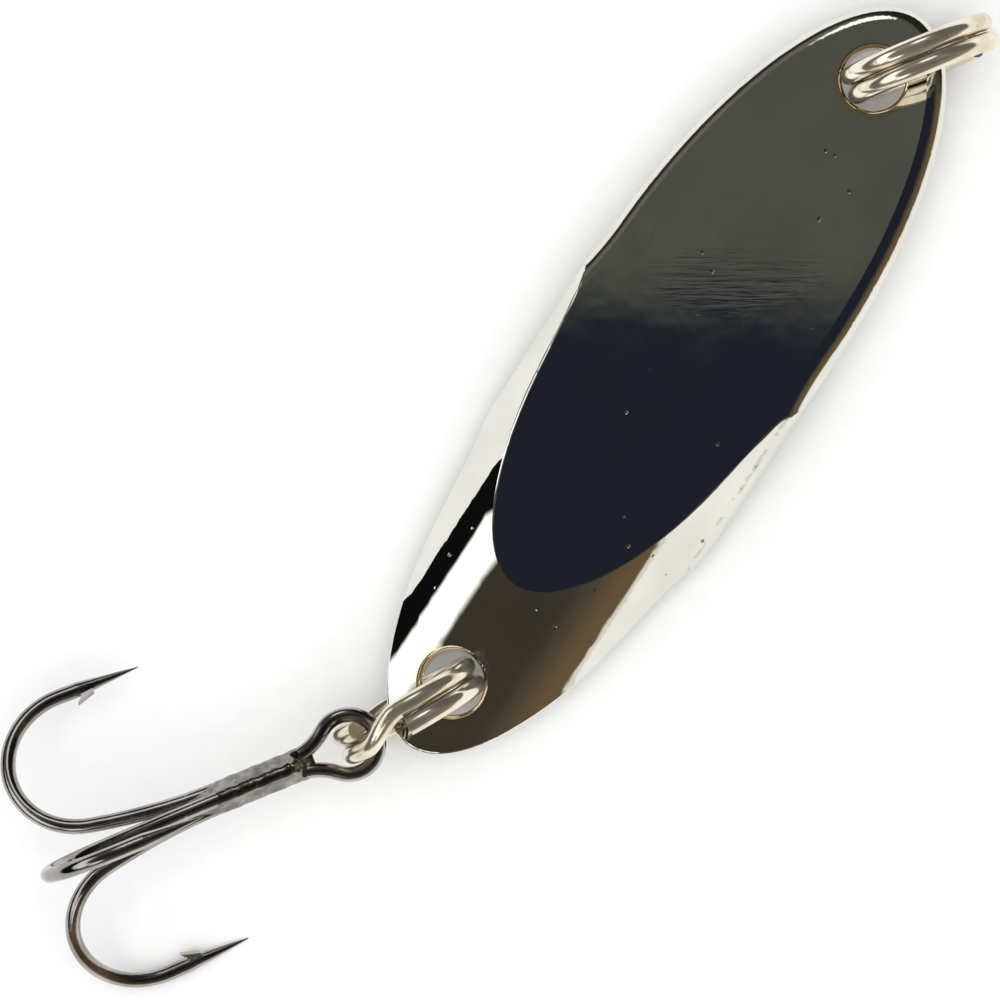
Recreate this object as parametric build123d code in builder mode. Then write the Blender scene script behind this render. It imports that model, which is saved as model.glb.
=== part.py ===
from build123d import *

import math
import os

os.makedirs("parts", exist_ok=True)

# A cut-bar casting spoon, lying on its back: a solid oval bar sliced by two parallel slanting
# cuts, a split ring in the hole at each end, and a treble hook on the tail ring.
# Millimetres. +X points to the nose, +Z up, and the surface it lies on is z = 0.

# Body: an oval bar cut at a slant
BAR_HALF_WIDTH = 6.85
BAR_ANGLE = 16.0  # between the bar's axis and the cut faces, degrees
CUT_HALF_LENGTH = 18.68  # half length of a cut face, before its edge is rounded
THICKNESS = 3.2
EDGE_ROUND = 0.2
BAR_HALF_CUT = 30.0  # half length of the bar before it is cut
# Upper half of the bar's section, as shares of the half width and of the height
CROWN = [(0.94, 0.18), (0.80, 0.50), (0.59, 0.77)]
# The front face's edge is well rounded at the nose, and crisp at the tail
NOSE_LENGTH = 17.65  # of the rounded nose, from where it is widest
NOSE_ROUND = 1.1
NOSE_SIDE = 0.45  # height of the upright band under the rounded edge
NOSE_TRIM = 0.03  # how much narrower the nose is than the bar, each side
RUNOUT_RADIUS = 20.0  # the rounding runs out through the bar's side along this curve
RUNOUT_TURN = 18.0

# Holes for the rings
HOLE_SPACING = 38.0
HOLE_RADIUS = 1.66
HOLE_RIM_ROUND = 0.2

# The body is propped up on the wires of its two rings
BODY_TILT = 2.1  # degrees
NOSE_LIFT = 0.45  # of the back face's lowest end
BODY_X = 8.8
BODY_Y = -5.3

# Split rings: two turns of round wire, with a sideways jog between the cut ends
RING_RADIUS = 3.7  # to the middle of the wire
RING_WIRE = 0.49  # radius of the wire
RING_PITCH = 1.04  # between the two turns
RING_JOG = 45.0  # degrees of the turn taken by the jog

NOSE_RING_X = 21.29
NOSE_RING_Y = -1.48
NOSE_RING_HEADING = -33.2  # from +X towards +Y, degrees
NOSE_RING_LEAN = -5.85
NOSE_RING_START = -40.0

TAIL_RING_X = -21.42
TAIL_RING_Y = 0.86
TAIL_RING_HEADING = 154.2
TAIL_RING_LEAN = 9.0  # its top leans towards -Y
TAIL_RING_START = 43.0

# Treble hook
HOOK_WIRE = 0.40  # radius of the wire
WIRE_GAP = 0.06  # filled with braze, between the wires of the shank
BRAZE_RADIUS = 0.30  # of the braze's own round corners, sunk between the wires
EYE_RADIUS = 1.55  # to the middle of the wire
EYE_SLACK = 0.12  # its middle is this far inside the middle of the ring's wire
NECK_RADIUS = 3.0
BEND_RADIUS = 3.85
BEND_S = 13.05  # centre of the bend, along the shank from the eye
BEND_RHO = 5.1  # centre of the bend, out from the shank's axis
SPREAD_ANGLE = 14.0  # slope at which the shank runs into the bend, degrees
POINT_ANGLE = 181.8  # direction of the straight point, degrees
POINT_START_S = 11.8  # where the wire starts to taper
POINT_LENGTH = 3.3
POINT_TIP = 0.03
# Barb on the inner side of each point: distances along the shank, and out from its axis
BARB_OUTLINE = [(11.1, 8.60), (11.1, 8.42), (12.1, 8.10), (11.8, 8.42), (11.8, 8.60)]
BARB_WIDTH = 0.30
SHANK_START_S = 3.1  # where the third wire begins
BRAZE_END_S = 7.6
HOOK_HEADING = 147.8  # from +X towards +Y, degrees
HOOK_RISE = 7.42  # the shank rises away from the ring, degrees


def write(part, name):
    """Label a finished piece and write it to its own file."""
    part.label = name
    export_step(part, f"parts/{name}.step")


def heading_vector(heading, rise=0.0):
    """Unit vector at a compass heading from +X and a rise above the horizontal."""
    turn, lift = math.radians(heading), math.radians(rise)
    return Vector(math.cos(turn) * math.cos(lift), math.sin(turn) * math.cos(lift), math.sin(lift))


def leaning_plane(origin, heading, lean):
    """Upright plane along a heading, its own y up, leaning away from its own normal."""
    along = heading_vector(heading)
    side = along.cross(Vector(0, 0, 1))
    tip = math.radians(lean)
    normal = side * math.cos(tip) + Vector(0, 0, 1) * math.sin(tip)
    return Plane(origin=origin, x_dir=along, z_dir=normal)


# ---------------------------------------------------------------- body
shift = THICKNESS / math.tan(math.radians(BAR_ANGLE))  # between the two cut faces
bar_height = CUT_HALF_LENGTH * math.sin(math.radians(BAR_ANGLE))
bar_side = NOSE_SIDE * math.cos(math.radians(BAR_ANGLE))  # height of the bar's flat sides
back_face_growth = NOSE_SIDE / math.tan(math.radians(BAR_ANGLE))
lowest_x = CUT_HALF_LENGTH - shift / 2 + back_face_growth  # the nose end of the back face
tilt = math.radians(BODY_TILT)

body_plane = Plane(
    origin=(BODY_X, BODY_Y, NOSE_LIFT + lowest_x * math.sin(tilt)),
    x_dir=(math.cos(tilt), 0, -math.sin(tilt)),
    z_dir=(math.sin(tilt), 0, math.cos(tilt)),
)
bar_axis = math.radians(BAR_ANGLE - BODY_TILT)
bar_plane = Plane(
    origin=body_plane.offset(THICKNESS / 2).origin,
    x_dir=(0, 1, 0),
    z_dir=(math.cos(bar_axis), 0, math.sin(bar_axis)),
)

up = Axis(body_plane.origin, body_plane.z_dir)

with BuildPart() as blank:
    with BuildSketch(body_plane):
        with BuildLine():
            nose_width = BAR_HALF_WIDTH - NOSE_TRIM
            nose = EllipticalCenterArc(
                (shift / 2, 0), NOSE_LENGTH, nose_width, start_angle=-90, arc_size=180
            )
            left = JernArc(nose @ 1, (-1, 0), RUNOUT_RADIUS, -RUNOUT_TURN)
            right = JernArc(nose @ 0, (-1, 0), RUNOUT_RADIUS, RUNOUT_TURN)
            Line(left @ 1, right @ 1)
        make_face()
    extrude(amount=THICKNESS)
    nose_rim = blank.faces().sort_by(up)[-1].edges().sort_by(Axis.X)[1:]
    fillet(nose_rim, NOSE_ROUND)
    with BuildSketch(body_plane):
        with Locations((shift / 2 - RUNOUT_RADIUS * math.sin(math.radians(RUNOUT_TURN)), 0)):
            Rectangle(BAR_HALF_CUT, 3 * BAR_HALF_WIDTH, align=(Align.MAX, Align.CENTER))
    extrude(amount=THICKNESS)

with BuildPart() as lure_body:
    with BuildSketch(bar_plane):
        with BuildLine():
            Line((-BAR_HALF_WIDTH, 0), (-BAR_HALF_WIDTH, -bar_side))
            EllipticalCenterArc((0, -bar_side), BAR_HALF_WIDTH, bar_height, start_angle=180, arc_size=180)
            Line((BAR_HALF_WIDTH, -bar_side), (BAR_HALF_WIDTH, 0))
            crown_right = [(BAR_HALF_WIDTH * w, bar_height * h) for w, h in CROWN]
            crown_left = [(-y, h) for y, h in reversed(crown_right)]
            Spline(
                (BAR_HALF_WIDTH, 0),
                *crown_right,
                (0, bar_height),
                *crown_left,
                (-BAR_HALF_WIDTH, 0),
                tangents=[(0, 1), (0, -1)],
            )
        make_face()
    extrude(amount=BAR_HALF_CUT, both=True)
    add(blank.part, mode=Mode.INTERSECT)
    cut_faces = lure_body.faces().filter_by(GeomType.PLANE).sort_by(SortBy.AREA)[-2:]
    back_face, front_face = cut_faces.sort_by(up)
    front_tail_edge = front_face.edges().sort_by(Axis.X)[0]
    fillet([front_tail_edge, *back_face.edges()], EDGE_ROUND)
    with BuildSketch(body_plane):
        with Locations((HOLE_SPACING / 2, 0), (-HOLE_SPACING / 2, 0)):
            Circle(HOLE_RADIUS)
    extrude(amount=THICKNESS, mode=Mode.SUBTRACT)
    rims = lure_body.edges(Select.LAST).filter_by(GeomType.LINE, reverse=True)
    fillet(rims, HOLE_RIM_ROUND)
write(lure_body.part, "lure_body")

# ---------------------------------------------------------------- split rings


def ring_point(angle, side=0.0):
    """Point on the middle of the ring's wire, in the ring's own plane."""
    turn = math.radians(angle)
    return (RING_RADIUS * math.cos(turn), RING_RADIUS * math.sin(turn), side)


def ring_tangent(plane, angle):
    """Direction of travel at an angle, for a ring wound clockwise in a plane."""
    turn = math.radians(angle)
    return plane.x_dir * math.sin(turn) - plane.y_dir * math.cos(turn)


def ring_turn(start, side):
    """Nearly a whole flat turn, clockwise, from one side of the jog round to the other."""
    turn = RING_JOG - 360
    ThreePointArc(ring_point(start, side), ring_point(start + turn / 2, side), ring_point(start + turn, side))


def make_split_ring(plane, start):
    """Two flat turns of wire side by side, with the jog that carries one into the other."""
    half_pitch = RING_PITCH / 2
    jog_start = start + RING_JOG - 360
    jog_end = start - 360
    with BuildPart(plane) as ring:
        with BuildLine(plane) as wire:
            ring_turn(start, half_pitch)
            Spline(
                ring_point(jog_start, half_pitch),
                ring_point((jog_start + jog_end) / 2, 0),
                ring_point(jog_end, -half_pitch),
                tangents=[ring_tangent(plane, jog_start), ring_tangent(plane, jog_end)],
            )
            ring_turn(jog_end, -half_pitch)
        with BuildSketch(Plane(origin=wire.line @ 0, z_dir=wire.line % 0)):
            Circle(RING_WIRE)
        sweep(path=wire.line)
    return ring.part


def ring_centre(x, y, lean):
    """Middle of a ring that stands on the surface beside the body."""
    drop = RING_RADIUS * math.cos(math.radians(lean))
    drop += RING_PITCH / 2 * math.sin(math.radians(abs(lean))) + RING_WIRE
    return (BODY_X + x, BODY_Y + y, drop)


nose_ring_plane = leaning_plane(
    ring_centre(NOSE_RING_X, NOSE_RING_Y, NOSE_RING_LEAN), NOSE_RING_HEADING, NOSE_RING_LEAN
)
tail_ring_plane = leaning_plane(
    ring_centre(TAIL_RING_X, TAIL_RING_Y, TAIL_RING_LEAN), TAIL_RING_HEADING, TAIL_RING_LEAN
)
nose_split_ring = make_split_ring(nose_ring_plane, NOSE_RING_START)
tail_split_ring = make_split_ring(tail_ring_plane, TAIL_RING_START)
write(nose_split_ring, "nose_split_ring")
write(tail_split_ring, "tail_split_ring")

# ---------------------------------------------------------------- treble hook
# Hook frame: x along the shank from the middle of the eye, z towards the third hook. The eye
# lies in the plane of the two lower wires, and the shank's own axis is a little above it.
shank_half = HOOK_WIRE + WIRE_GAP / 2  # half way from the middle of one wire to the next
shank_rho = shank_half * 2 / math.sqrt(3)  # from the shank's axis to each of its three wires
shank_z = shank_rho / 2
wire_middle = tail_ring_plane.from_local_coords(Vector(RING_RADIUS, 0, 0))
shank = heading_vector(HOOK_HEADING, HOOK_RISE)
eye_centre = wire_middle - shank * EYE_SLACK
eye_axis = tail_ring_plane.y_dir
hook_plane = Plane(origin=eye_centre, x_dir=shank, z_dir=eye_axis - shank * eye_axis.dot(shank))


def hook_point(s, across, height=0.0):
    """Point in the row's frame, from its place in the hook's own frame."""
    return hook_plane.from_local_coords(Vector(s, across, height))


def spoke(side, s, rho):
    """Point s along the shank and rho out from its axis, towards one side."""
    turn = math.radians(side)
    return hook_point(s, rho * math.cos(turn), shank_z + rho * math.sin(turn))


spread = math.radians(SPREAD_ANGLE)
spread_rise = BEND_RHO - BEND_RADIUS * math.cos(spread) - shank_rho
spread_radius = spread_rise / (1 - math.cos(spread))
spread_s = BEND_S + (BEND_RADIUS - spread_radius) * math.sin(spread)


def spread_point(side, slope):
    """Point on the gentle curve between the shank and the bend, where it has this slope."""
    turn = math.radians(slope)
    rho = shank_rho + spread_radius * (1 - math.cos(turn))
    return spoke(side, spread_s + spread_radius * math.sin(turn), rho)


def bend_point(side, slope):
    """Point on a hook's round bend, where the wire runs at this slope to the shank."""
    turn = math.radians(slope)
    s = BEND_S + BEND_RADIUS * math.sin(turn)
    return spoke(side, s, BEND_RHO - BEND_RADIUS * math.cos(turn))


def point_plane(side):
    """Plane across the straight end of the wire, where it starts to taper to its point."""
    turn = math.radians(POINT_ANGLE)
    ahead = spoke(side, math.cos(turn), math.sin(turn)) - spoke(side, 0, 0)
    bend_end = bend_point(side, POINT_ANGLE)
    run = (POINT_START_S - BEND_S - BEND_RADIUS * math.sin(turn)) / math.cos(turn)
    return Plane(origin=bend_end + ahead * run, z_dir=ahead)


def hook_wire(side, start_s):
    """One hook from the shank at start_s, round its bend, to where its point starts to taper."""
    middle = (SPREAD_ANGLE + POINT_ANGLE) / 2
    Line(spoke(side, start_s, shank_rho), spread_point(side, 0))
    ThreePointArc(*[spread_point(side, slope) for slope in (0, SPREAD_ANGLE / 2, SPREAD_ANGLE)])
    ThreePointArc(*[bend_point(side, slope) for slope in (SPREAD_ANGLE, middle, POINT_ANGLE)])
    Line(bend_point(side, POINT_ANGLE), point_plane(side).origin)


def barb_plane(side):
    """Plane of one hook, x along the shank and y out from its axis, to draw its barb on."""
    out = spoke(side, 0, 1) - spoke(side, 0, 0)
    return Plane(origin=spoke(side, 0, 0), x_dir=hook_plane.x_dir, z_dir=hook_plane.x_dir.cross(out))


neck_side = shank_half + NECK_RADIUS  # middle of each neck's curve, out from the shank
neck_s = math.sqrt((EYE_RADIUS + NECK_RADIUS) ** 2 - neck_side**2)
neck_turn = math.atan2(neck_side, neck_s)  # where the neck leaves the eye's ring


def neck_point(side, share):
    """Point on the curve from the shank, at share 0, out to the eye's ring, at share 1."""
    turn = -math.pi / 2 - share * (math.pi / 2 - neck_turn)
    s = neck_s + NECK_RADIUS * math.cos(turn)
    return hook_point(s, side * (neck_side + NECK_RADIUS * math.sin(turn)))


point_taper = math.degrees(math.atan((HOOK_WIRE - POINT_TIP) / POINT_LENGTH))

with BuildPart() as hook_double_wire:
    with BuildLine() as double_path:
        hook_wire(-30, neck_s)
        hook_wire(210, neck_s)
        for side in (1, -1):
            ThreePointArc(*[neck_point(side, share) for share in (0, 0.5, 1)])
        ThreePointArc(neck_point(1, 1), hook_point(-EYE_RADIUS, 0), neck_point(-1, 1))
    wire = Wire(double_path.edges())
    with BuildSketch(Plane(origin=wire @ 0, z_dir=wire % 0)):
        Circle(HOOK_WIRE)
    sweep(path=wire)
    for side in (-30, 210):
        with BuildSketch(point_plane(side)):
            Circle(HOOK_WIRE)
        extrude(amount=POINT_LENGTH, taper=point_taper)
        with BuildSketch(barb_plane(side)):
            with BuildLine():
                Polyline(*BARB_OUTLINE, close=True)
            make_face()
        extrude(amount=BARB_WIDTH / 2, both=True)
write(hook_double_wire.part, "hook_double_wire")

with BuildPart() as hook_single_wire:
    with BuildLine() as single_path:
        hook_wire(90, SHANK_START_S)
    wire = Wire(single_path.edges())
    with BuildSketch(Plane(origin=wire @ 0, z_dir=wire % 0)):
        Circle(HOOK_WIRE)
    sweep(path=wire)
    with BuildSketch(point_plane(90)):
        Circle(HOOK_WIRE)
    extrude(amount=POINT_LENGTH, taper=point_taper)
    with BuildSketch(barb_plane(90)):
        with BuildLine():
            Polyline(*BARB_OUTLINE, close=True)
        make_face()
    extrude(amount=BARB_WIDTH / 2, both=True)
write(hook_single_wire.part, "hook_single_wire")

braze_plane = Plane(origin=hook_point(SHANK_START_S, 0), x_dir=hook_plane.y_dir, z_dir=hook_plane.x_dir)
with BuildPart() as hook_braze:
    with BuildSketch(braze_plane):
        for side in (-30, 90, 210):
            turn = math.radians(side)
            with Locations((shank_rho * math.cos(turn), shank_z + shank_rho * math.sin(turn))):
                Circle(BRAZE_RADIUS)
        make_hull()
    extrude(amount=BRAZE_END_S - SHANK_START_S)
    add(hook_double_wire.part, mode=Mode.SUBTRACT)
    add(hook_single_wire.part, mode=Mode.SUBTRACT)
write(hook_braze.part, "hook_braze")
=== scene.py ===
import math

import bpy
from mathutils import Matrix, Vector


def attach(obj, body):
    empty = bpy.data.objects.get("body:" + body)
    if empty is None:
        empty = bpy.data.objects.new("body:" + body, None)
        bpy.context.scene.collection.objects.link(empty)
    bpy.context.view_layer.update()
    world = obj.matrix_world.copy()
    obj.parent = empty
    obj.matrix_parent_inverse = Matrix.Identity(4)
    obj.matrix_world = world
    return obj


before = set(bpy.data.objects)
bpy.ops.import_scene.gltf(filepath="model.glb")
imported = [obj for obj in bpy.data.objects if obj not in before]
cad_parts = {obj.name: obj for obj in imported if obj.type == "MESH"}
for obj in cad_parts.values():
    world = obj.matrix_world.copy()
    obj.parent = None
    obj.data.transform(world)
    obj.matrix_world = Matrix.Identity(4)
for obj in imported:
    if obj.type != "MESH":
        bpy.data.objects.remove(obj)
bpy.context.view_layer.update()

scene = bpy.context.scene
scene.view_settings.view_transform = "Standard"

# ---------------------------------------------------------------- camera
CAMERA_TILT = math.radians(7.5)
CAMERA_ROLL = math.radians(55.0)
CAMERA_DISTANCE = 0.5
VIEW_WIDTH = 0.05181
VIEW_CENTRE = Vector((-0.00102, -0.00188, 0.003))
SENSOR = 36.0  # millimetres, like the lens
CLIP_START = 0.01

back = Vector((0, -math.sin(CAMERA_TILT), math.cos(CAMERA_TILT)))
level = Vector((1, 0, 0))
side = back.cross(level)
right = math.cos(CAMERA_ROLL) * level - math.sin(CAMERA_ROLL) * side
up = back.cross(right)
camera_data = bpy.data.cameras.new("camera")
camera_data.sensor_width = SENSOR
camera_data.lens = SENSOR * CAMERA_DISTANCE / VIEW_WIDTH
camera_data.clip_start = CLIP_START
camera = bpy.data.objects.new("camera", camera_data)
scene.collection.objects.link(camera)
turn = Matrix((right, up, back)).transposed().to_4x4()
camera.matrix_world = Matrix.Translation(VIEW_CENTRE + back * CAMERA_DISTANCE) @ turn
scene.camera = camera


# ---------------------------------------------------------------- node helpers
SPECK_CORE = 0.6  # share of a speck's radius that is fully marked


class Graph:
    """A material's or world's node tree, with short calls for the nodes that this scene uses."""

    def __init__(self, tree):
        self.tree = tree

    def put(self, socket, value):
        """Link or set a socket. None leaves it as it is."""
        if isinstance(value, bpy.types.NodeSocket):
            self.tree.links.new(value, socket)
        elif value is not None:
            socket.default_value = value

    def add(self, kind, settings=(), **inputs):
        node = self.tree.nodes.new(kind)
        for name, value in dict(settings).items():
            setattr(node, name, value)
        for name, value in inputs.items():
            self.put(node.inputs[name.replace("_", " ")], value)
        return node

    def math(self, operation, a, b=0.0, clamp=False):
        node = self.add("ShaderNodeMath", {"operation": operation, "use_clamp": clamp})
        self.put(node.inputs[0], a)
        self.put(node.inputs[1], b)
        return node.outputs[0]

    def vector(self, operation, a, b=None):
        node = self.add("ShaderNodeVectorMath", {"operation": operation})
        self.put(node.inputs[0], a)
        self.put(node.inputs[1], b)
        return node

    def offset(self, where, centre):
        """Level offset of a place from a centre."""
        apart = self.vector("SUBTRACT", where, centre).outputs[0]
        return self.vector("MULTIPLY", apart, (1, 1, 0)).outputs[0]

    def length(self, offset):
        return self.vector("LENGTH", offset).outputs["Value"]

    def share(self, direction, towards):
        """How much of a direction lies along another."""
        return self.vector("DOT_PRODUCT", direction, towards).outputs["Value"]

    def ragged(self, value, noise, size):
        """A value moved up and down by a noise, by up to half of size."""
        shift = self.math("MULTIPLY", self.math("SUBTRACT", noise, 0.5), size)
        return self.math("ADD", value, shift)

    def step(self, value, low, high, out_low=0.0, out_high=1.0):
        """A smooth step from out_low to out_high as the value goes from low to high."""
        node = self.add("ShaderNodeMapRange", {"interpolation_type": "SMOOTHSTEP"})
        for name, number in (
            ("Value", value),
            ("From Min", low),
            ("From Max", high),
            ("To Min", out_low),
            ("To Max", out_high),
        ):
            self.put(node.inputs[name], number)
        return node.outputs["Result"]

    def mix(self, share, a, b):
        node = self.add("ShaderNodeMix", {"data_type": "RGBA"})
        self.put(node.inputs[0], share)
        self.put(node.inputs[6], a)
        self.put(node.inputs[7], b)
        return node.outputs[2]

    def layers(self, base, *layers):
        """A colour, with each layer's colour laid over it as the layer's value goes low to high."""
        for value, low, high, colour in layers:
            base = self.mix(self.step(value, low, high), base, colour)
        return base

    def place(self):
        return self.add("ShaderNodeTexCoord").outputs["Object"]

    def stretch(self, where, heading, factor):
        """The same place, with patterns drawn out along a heading in the horizontal plane."""
        node = self.add(
            "ShaderNodeMapping",
            {"vector_type": "TEXTURE"},
            Vector=where,
            Scale=(factor, 1, 1),
            Rotation=(0, 0, math.radians(heading)),
        )
        return node.outputs[0]

    def noise(self, where, scale, detail=3.0, roughness=0.5):
        node = self.add(
            "ShaderNodeTexNoise", Vector=where, Scale=scale, Detail=detail, Roughness=roughness
        )
        return node.outputs[0]

    def specks(self, where, scale, radius):
        cells = self.add("ShaderNodeTexVoronoi", Vector=where, Scale=scale)
        return self.step(cells.outputs["Distance"], radius * SPECK_CORE, radius, 1.0, 0.0)

    def bump(self, height, distance, strength=1.0, normal=None):
        node = self.add(
            "ShaderNodeBump", Height=height, Distance=distance, Strength=strength, Normal=normal
        )
        return node.outputs[0]


def rgb(red, green, blue):
    """Linear colour from 0-255 screen values."""
    def linear(value):
        value /= 255
        return value / 12.92 if value <= 0.04045 else ((value + 0.055) / 1.055) ** 2.4

    return (linear(red), linear(green), linear(blue), 1.0)


def material(name):
    """A new material and its graph and shader."""
    made = bpy.data.materials.new(name)
    made.use_nodes = True
    graph = Graph(made.node_tree)
    return made, graph, made.node_tree.nodes["Principled BSDF"]


# ---------------------------------------------------------------- finishes
BODY_Y = -0.0053
HOLES_X = (0.02779, -0.01019)
HOLE_WALL = 0.00175
HOLE_TINT_END = 0.00225
PATCH_CENTRE = (0.0157, -0.0055, 0)  # where the front face is brushed rather than mirror bright
PATCH_CORE = 0.0008
PATCH_END = 0.0026
PATCH_RAGGED = 0.003
PATCH_HEADING = -52
PATCH_STRETCH = 2.2
BRUSH_HEADING = -55
BRUSH_STRETCH = 14
HAIRLINE_HEADING = 12
HAIRLINE_STRETCH = 40
# Reach of the painted shade between the ring's turns
PAINTED_SHADE_REACH = 0.0007

PLATING_CLEAN = (0.78, 0.775, 0.71, 1)
PLATING_SMEARED = (0.71, 0.705, 0.64, 1)
PLATING_SCRATCHED = (0.60, 0.58, 0.53, 1)
HOLE_RIM_TINT = (0.80, 0.66, 0.42, 1)
PLATING_PIT = (0.32, 0.28, 0.22, 1)
NICKEL_CLEAN = (0.86, 0.80, 0.66, 1)
NICKEL_YELLOWED = (0.66, 0.58, 0.42, 1)
NICKEL_MARK = (0.36, 0.29, 0.20, 1)
# Painted shade, brown, laid between the ring's turns
PAINTED_SHADE_BROWN = (0.24, 0.17, 0.08, 1)
BLACK_NICKEL = (0.30, 0.285, 0.27, 1)
BLACK_NICKEL_WORN = (0.50, 0.47, 0.44, 1)
BARE_STEEL = (0.70, 0.64, 0.55, 1)
BRAZE_DARK = (0.17, 0.155, 0.14, 1)
BRAZE_LIGHT = (0.33, 0.31, 0.285, 1)
BRAZE_PIT = (0.07, 0.06, 0.05, 1)

# Heights of bumps, in metres
RIPPLE = 0.000005
BRUSHING = 0.0000025
GRAIN = 0.000005
DENTS = 0.00002
PIT_DEPTH = -0.00002
BRAZE_LUMPS = 0.00005


def bright_plating():
    """Mirror plating: faint ripple, polishing lines, pits, smears, and a yellow-brown tint round the
    holes.
    """
    made, g, shader = material("bright_plating")
    where = g.place()
    smear = g.noise(where, 260, 5.0, 0.6)

    brushed = g.noise(g.stretch(where, BRUSH_HEADING, BRUSH_STRETCH), 5200, 2.0, 0.6)
    off_patch = g.stretch(g.offset(where, PATCH_CENTRE), PATCH_HEADING, PATCH_STRETCH)
    patch_edge = g.ragged(g.length(off_patch), smear, PATCH_RAGGED)
    patch = g.step(patch_edge, PATCH_CORE, PATCH_END, 1.0, 0.0)
    hairlines = g.noise(g.stretch(where, HAIRLINE_HEADING, HAIRLINE_STRETCH), 7000, 2.0)
    hairlines_here = g.step(g.noise(where, 150, 3.0), 0.5, 0.62)
    hairlines = g.math("MULTIPLY", g.step(hairlines, 0.66, 0.78), hairlines_here)
    pits_here = g.step(g.noise(where, 300, 1.0), 0.52, 0.58)
    pits = g.math("MULTIPLY", g.specks(where, 900, 0.11), pits_here)
    # A yellow-brown tint on the face, in a band round each hole.
    from_holes = [g.length(g.offset(where, (x, BODY_Y, 0))) for x in HOLES_X]
    near = g.step(g.math("MINIMUM", *from_holes), HOLE_WALL, HOLE_TINT_END, 1.0, 0.0)

    colour = g.mix(g.step(smear, 0.35, 0.7), PLATING_CLEAN, PLATING_SMEARED)
    colour = g.mix(g.math("MULTIPLY", hairlines, 0.25), colour, PLATING_SCRATCHED)
    colour = g.mix(g.math("MULTIPLY", near, 0.8), colour, HOLE_RIM_TINT)
    g.put(shader.inputs["Base Color"], g.mix(pits, colour, PLATING_PIT))

    satin = g.math("MULTIPLY", g.step(brushed, 0.45, 0.62), patch)
    rough = g.step(smear, 0.35, 0.75, 0.012, 0.045)
    for marks, added in ((satin, 0.035), (hairlines, 0.04), (pits, 0.35)):
        rough = g.math("ADD", rough, g.math("MULTIPLY", marks, added))
    g.put(shader.inputs["Roughness"], rough)
    ripple = g.bump(g.noise(where, 420, 2.0), RIPPLE, 0.3)
    scratched = g.bump(g.math("MULTIPLY", brushed, patch), BRUSHING, 0.35, ripple)
    g.put(shader.inputs["Normal"], g.bump(pits, PIT_DEPTH, 0.7, scratched))
    shader.inputs["Metallic"].default_value = 1.0
    return made


def ring_nickel():
    """Bright nickel wire, a little yellow, with painted brown shade where the turns lie close."""
    made, g, shader = material("ring_nickel")
    where = g.place()
    patch = g.noise(where, 520, 4.0, 0.6)
    drawn = g.noise(where, 5200, 2.0)
    # Painted shade: ambient occlusion darkens the wire brown where its turns lie close together.
    occlusion = g.add("ShaderNodeAmbientOcclusion", {"samples": 8}, Distance=PAINTED_SHADE_REACH)
    open_metal = g.mix(g.step(patch, 0.35, 0.7), NICKEL_CLEAN, NICKEL_YELLOWED)
    painted_shade = g.step(occlusion.outputs["AO"], 0.12, 0.62, 1.0, 0.0)
    shaded_metal = g.mix(painted_shade, open_metal, PAINTED_SHADE_BROWN)
    marks = g.math("MULTIPLY", g.specks(where, 1500, 0.14), g.step(patch, 0.5, 0.6))
    g.put(shader.inputs["Base Color"], g.mix(marks, shaded_metal, NICKEL_MARK))
    rough = g.math("ADD", g.step(patch, 0.3, 0.7, 0.10, 0.22), g.math("MULTIPLY", marks, 0.3))
    g.put(shader.inputs["Roughness"], rough)
    g.put(shader.inputs["Normal"], g.bump(drawn, GRAIN, 0.35, g.bump(patch, DENTS, 0.3)))
    shader.inputs["Metallic"].default_value = 0.88
    return made


def hook_black_nickel():
    """Dark nickel over steel wire, glossy, with small bare spots."""
    made, g, shader = material("hook_black_nickel")
    where = g.place()
    patch = g.noise(where, 420, 4.0, 0.6)
    fine = g.noise(where, 4200, 2.0)
    dark = g.mix(g.step(patch, 0.35, 0.7), BLACK_NICKEL, BLACK_NICKEL_WORN)
    bare = g.math("MULTIPLY", g.specks(where, 1300, 0.16), g.step(patch, 0.52, 0.6))
    g.put(shader.inputs["Base Color"], g.mix(bare, dark, BARE_STEEL))
    rough = g.math("ADD", g.step(patch, 0.3, 0.75, 0.10, 0.24), g.math("MULTIPLY", bare, 0.2))
    g.put(shader.inputs["Roughness"], rough)
    g.put(shader.inputs["Normal"], g.bump(fine, GRAIN, 0.4, g.bump(patch, DENTS, 0.3)))
    shader.inputs["Metallic"].default_value = 1.0
    return made


def hook_solder():
    """Braze over the wires of the shank, plated: lumpy, blotched and duller than the wire."""
    made, g, shader = material("hook_solder")
    where = g.place()
    lumps = g.noise(where, 1300, 5.0, 0.65)
    colour = g.mix(g.step(lumps, 0.38, 0.66), BRAZE_DARK, BRAZE_LIGHT)
    pits = g.math("MULTIPLY", g.specks(where, 2600, 0.18), g.step(lumps, 0.45, 0.55))
    g.put(shader.inputs["Base Color"], g.mix(pits, colour, BRAZE_PIT))
    g.put(shader.inputs["Roughness"], g.step(lumps, 0.3, 0.7, 0.26, 0.14))
    g.put(shader.inputs["Normal"], g.bump(lumps, BRAZE_LUMPS, 0.5, g.bump(pits, PIT_DEPTH, 0.5)))
    shader.inputs["Metallic"].default_value = 1.0
    return made


def finish_with(made, *nodes):
    """Give CAD nodes a finish."""
    for name in nodes:
        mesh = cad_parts[name].data
        mesh.materials.clear()
        mesh.materials.append(made)


solder = hook_solder()
finish_with(bright_plating(), "lure_body")
finish_with(ring_nickel(), "nose_split_ring", "tail_split_ring")
finish_with(hook_black_nickel(), "hook_double_wire", "hook_single_wire")
finish_with(solder, "hook_braze")


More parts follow.
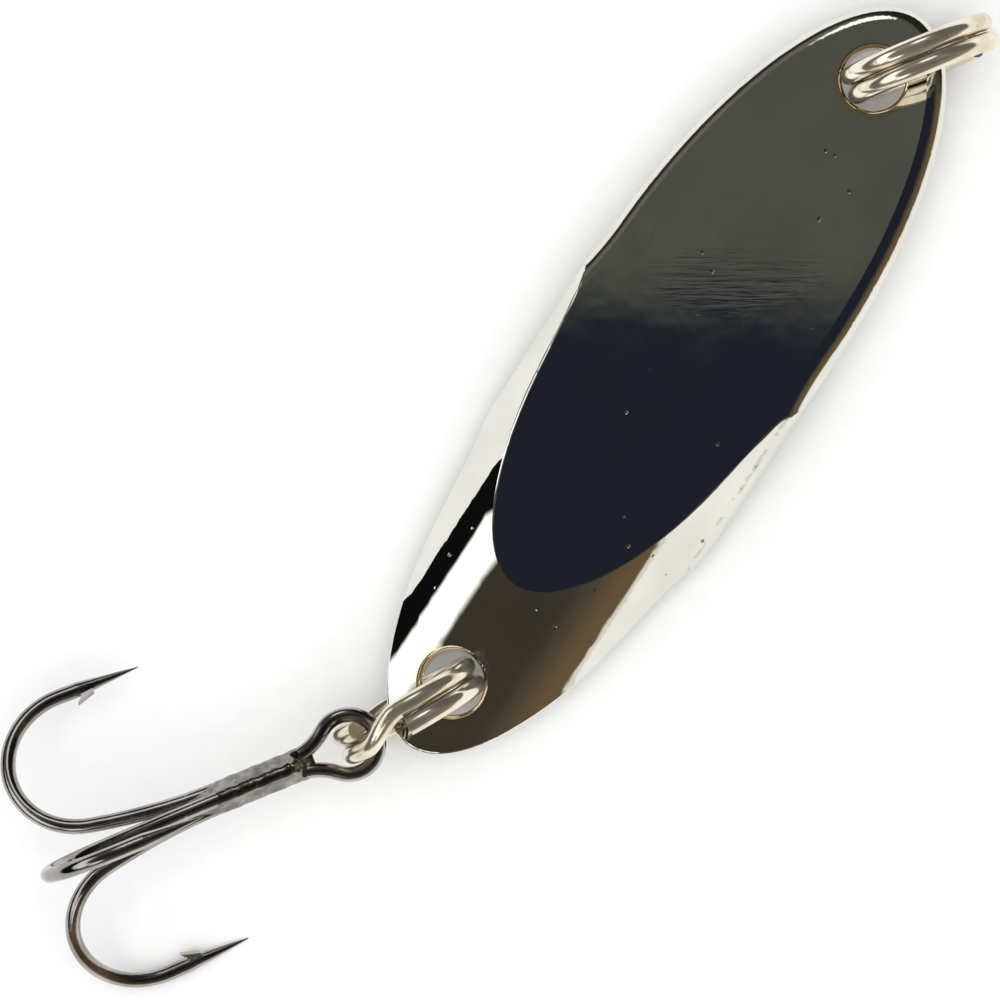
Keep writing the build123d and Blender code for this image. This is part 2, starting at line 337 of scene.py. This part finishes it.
# ---------------------------------------------------------------- braze that has run over the shank
# Lengths in millimetres. In the hook's own frame s runs along the shank from the middle of the eye.
MM = 0.001
EYE = Vector((-15.85, -2.893, 4.21))
SHANK = Vector((-0.839, 0.528, 0.129)).normalized()
EYE_AXIS = Vector((-0.068, -0.141, 0.988))
HOOK_UP = (EYE_AXIS - SHANK * EYE_AXIS.dot(SHANK)).normalized()
HOOK_SIDE = HOOK_UP.cross(SHANK)
HOOK_WIRE = 0.40
WIRE_SIDE = 0.43  # from the shank's axis to the two lower wires
THIRD_WIRE = 0.745  # height of the third wire over them
THIRD_WIRE_START = (2.55, 3.35)  # s over which the skin rises to cover the third wire
NECK_S = 2.99  # where the lower wires leave the eye's neck
NECK_RADIUS = 3.0
SPREAD_S = 6.92  # where the wires start to part
SPREAD_RADIUS = 29.2
LOWER_SPREAD = math.radians(30)  # how far below level each lower wire parts

SKIN_START = 1.95
SKIN_END = 9.6
SKIN_FULL = (2.7, 7.0)  # s between which the skin has its full depth
SKIN_SUNK = 0.30  # how far its ends are under the wires' surface
SKIN_RISE = 0.325
SKIN_RINGS = 96
SKIN_SPOKES = 40
LUMPS = ((0.012, 5.1, 2, 0.0), (0.010, 9.7, -3, 1.0))  # height, waves along, waves round, shift
COLLAR_HEIGHT = 0.05  # the thicker braze behind the eye
COLLAR_S = 3.0
COLLAR_LENGTH = 0.35
COLLAR_TURN = 0.3
SEARCH_FAR = 3.0  # past the skin at every s
SEARCH_NEAR = 0.2  # the search starts at this share of the wires' own reach
SEARCH_LEAST = 0.5  # and the skin is never nearer than this share
HALVINGS = 26


def ease(value, low, high):
    """A smooth step from 0 at low to 1 at high."""
    share = min(1.0, max(0.0, (value - low) / (high - low)))
    return share * share * (3 - 2 * share)


def wire_corners(s):
    """Middles of the shank's wires at s, across and up."""
    parted = 0.0
    if s > SPREAD_S:
        parted = SPREAD_RADIUS - math.sqrt(SPREAD_RADIUS**2 - (s - SPREAD_S) ** 2)
    across = WIRE_SIDE + parted * math.cos(LOWER_SPREAD)
    if s < NECK_S:
        across += NECK_RADIUS - math.sqrt(NECK_RADIUS**2 - (NECK_S - s) ** 2)
    low = -parted / 2  # the sine of 30 degrees
    top = (THIRD_WIRE + parted) * ease(s, *THIRD_WIRE_START)
    return [Vector((across, low)), Vector((0, top)), Vector((-across, low))]


def gap_to(corners, point):
    """Distance from a point outside a triangle to its nearest edge."""
    best = math.inf
    for a, b in zip(corners, corners[1:] + corners[:1]):
        edge = b - a
        share = 0.0
        if edge.length_squared > 0:
            share = min(1.0, max(0.0, (point - a).dot(edge) / edge.length_squared))
        best = min(best, (point - a - edge * share).length)
    return best


def skin_reach(corners, middle, ray, depth):
    """How far the skin is from the middle along a ray, at this depth outside the triangle."""
    inside = max((corner - middle).dot(ray) for corner in corners)
    near = max(0.0, inside * SEARCH_NEAR)
    far = SEARCH_FAR
    for _ in range(HALVINGS):
        half = (near + far) / 2
        point = middle + ray * half
        if gap_to(corners, point) > depth and half > inside * SEARCH_LEAST:
            far = half
        else:
            near = half
    return near


def skin_lump(s, turn):
    """How much the braze stands up at s and at this turn round the shank."""
    lump = sum(
        height * math.sin(along * s + around * turn + shift)
        for height, along, around, shift in LUMPS
    )
    collar = math.exp(-((s - COLLAR_S) / COLLAR_LENGTH) ** 2)
    return lump + COLLAR_HEIGHT * collar * max(0.0, math.sin(turn - COLLAR_TURN))


def skin_ring(s):
    """One ring of the skin's points."""
    corners = wire_corners(s)
    middle = (corners[0] + corners[1] + corners[2]) / 3
    cover = ease(s, SKIN_START, SKIN_FULL[0]) * (1 - ease(s, SKIN_FULL[1], SKIN_END))
    depth = HOOK_WIRE - SKIN_SUNK + SKIN_RISE * cover
    points = []
    for spoke in range(SKIN_SPOKES):
        turn = 2 * math.pi * spoke / SKIN_SPOKES
        ray = Vector((math.cos(turn), math.sin(turn)))
        reach = skin_reach(corners, middle, ray, depth + skin_lump(s, turn) * cover)
        flat = middle + ray * reach
        points.append((EYE + SHANK * s + HOOK_SIDE * flat.x + HOOK_UP * flat.y) * MM)
    return points


def braze_skin():
    """The run-out braze: a thin lumpy skin over the shank, thickest behind the eye."""
    points = []
    faces = []
    for ring in range(SKIN_RINGS + 1):
        points += skin_ring(SKIN_START + (SKIN_END - SKIN_START) * ring / SKIN_RINGS)
    for ring in range(SKIN_RINGS):
        here = ring * SKIN_SPOKES
        beyond = here + SKIN_SPOKES
        for spoke in range(SKIN_SPOKES):
            after = (spoke + 1) % SKIN_SPOKES
            faces.append((here + spoke, beyond + spoke, beyond + after, here + after))
    faces.append(tuple(range(SKIN_SPOKES)))
    faces.append(tuple(reversed(range(SKIN_RINGS * SKIN_SPOKES, len(points)))))
    mesh = bpy.data.meshes.new("braze_skin")
    mesh.from_pydata(points, [], faces)
    mesh.update()
    mesh.materials.append(solder)
    mesh.shade_smooth()
    skin = bpy.data.objects.new("braze_skin", mesh)
    scene.collection.objects.link(skin)
    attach(skin, "treble_hook")


braze_skin()


# ---------------------------------------------------------------- floor
FLOOR_HALF = 3.0
PAPER_LOW = (0.925, 0.925, 0.92, 1)
PAPER_HIGH = (0.94, 0.94, 0.935, 1)


def floor():
    """A plain pale sheet of paper at z = 0."""
    made, g, shader = material("floor_paper")
    fibres = g.noise(g.place(), 900, 3.0)
    g.put(shader.inputs["Base Color"], g.mix(g.step(fibres, 0.3, 0.7), PAPER_LOW, PAPER_HIGH))
    shader.inputs["Roughness"].default_value = 0.9
    shader.inputs["Specular IOR Level"].default_value = 0.1
    mesh = bpy.data.meshes.new("floor")
    corners = [(x * FLOOR_HALF, y * FLOOR_HALF, 0) for x, y in ((-1, -1), (1, -1), (1, 1), (-1, 1))]
    mesh.from_pydata(corners, [], [(0, 1, 2, 3)])
    mesh.materials.append(made)
    plane = bpy.data.objects.new("floor", mesh)
    scene.collection.objects.link(plane)


floor()

# ---------------------------------------------------------------- light
# A wide soft light from above for what scatters light, mostly the floor. Mirror surfaces do not
# show it. They show the room: dark over the object, a pale wall on one side, a brown one on the other.
SUN_ENERGY = 1.35
SUN_WIDTH = math.radians(70)
SUN_TURN = (math.radians(12), math.radians(-10), 0)
UNMIRRORED = (0.75, 0.75, 0.75, 1)  # the room as the camera and scattered light have it

NAVY = rgb(34, 38, 50)
OLIVE = rgb(86, 88, 82)
TAIL_BROWN = rgb(64, 59, 52)
BLACK = rgb(16, 16, 16)
WINDOW_WHITE = (1.5, 1.5, 1.5, 1)
DIM_LOW = rgb(58, 50, 44)
DIM_HIGH = rgb(112, 108, 104)
PALE = (0.85, 0.84, 0.78, 1)
BROWN = rgb(112, 92, 68)
DARK_BROWN = rgb(72, 68, 60)
END_GREY = rgb(40, 38, 36)

CEILING_HEADING = (0.819, 0.574, 0.0)  # level, across the line between navy and olive
CEILING_RAGGED = 0.016

# Two lamps: the way to each, and how bright it is. From the photo's side only wires and rims show them.
SOFTBOXES = (((0.50, 0.50, 0.707), 1.5), ((-0.751, -0.25, 0.611), 1.6))
SOFTBOX_EDGE = (0.976, 0.990)  # cosines of the angles at its edge


def sun():
    data = bpy.data.lights.new("soft_light", "SUN")
    data.energy = SUN_ENERGY
    data.angle = SUN_WIDTH
    lamp = bpy.data.objects.new("soft_light", data)
    lamp.visible_glossy = False
    lamp.rotation_euler = SUN_TURN
    scene.collection.objects.link(lamp)


def room():
    """The world, in zones of the unit direction: x towards the nose, y to the left wall, z up."""
    world = bpy.data.worlds.new("room")
    scene.world = world
    world.use_nodes = True
    g = Graph(world.node_tree)
    direction = g.add("ShaderNodeTexCoord").outputs["Generated"]
    x, y, z = g.add("ShaderNodeSeparateXYZ", Vector=direction).outputs
    grain = g.noise(g.stretch(direction, -52, 6), 120.0, 3.0)
    edge = g.ragged(g.share(direction, CEILING_HEADING), grain, CEILING_RAGGED)
    ceiling = g.layers(NAVY, (edge, 0.1508, 0.1612, OLIVE), (x, -0.10, -0.25, TAIL_BROWN))
    dim = g.layers(DIM_LOW, (z, 0.30, 0.50, DIM_HIGH))
    left = g.layers(
        BLACK, (z, 0.36, 0.42, WINDOW_WHITE), (x, -0.12, 0.04, dim), (z, 0.70, 0.76, ceiling)
    )
    right_wall = g.layers(
        PALE, (z, 0.06, 0.14, BROWN), (z, 0.30, 0.74, DARK_BROWN), (z, 0.62, 0.78, ceiling)
    )
    shown = g.layers(right_wall, (y, -0.12, 0.12, left), (x, 0.55, 0.75, END_GREY))
    for towards, glow in SOFTBOXES:
        shown = g.layers(shown, (g.share(direction, towards), *SOFTBOX_EDGE, (glow, glow, glow, 1)))
    rays = g.add("ShaderNodeLightPath").outputs
    unmirrored = g.math("MAXIMUM", rays["Is Camera Ray"], rays["Is Diffuse Ray"])
    background = world.node_tree.nodes["Background"]
    g.put(background.inputs["Color"], g.mix(unmirrored, shown, UNMIRRORED))
    background.inputs["Strength"].default_value = 1.0


sun()
room()
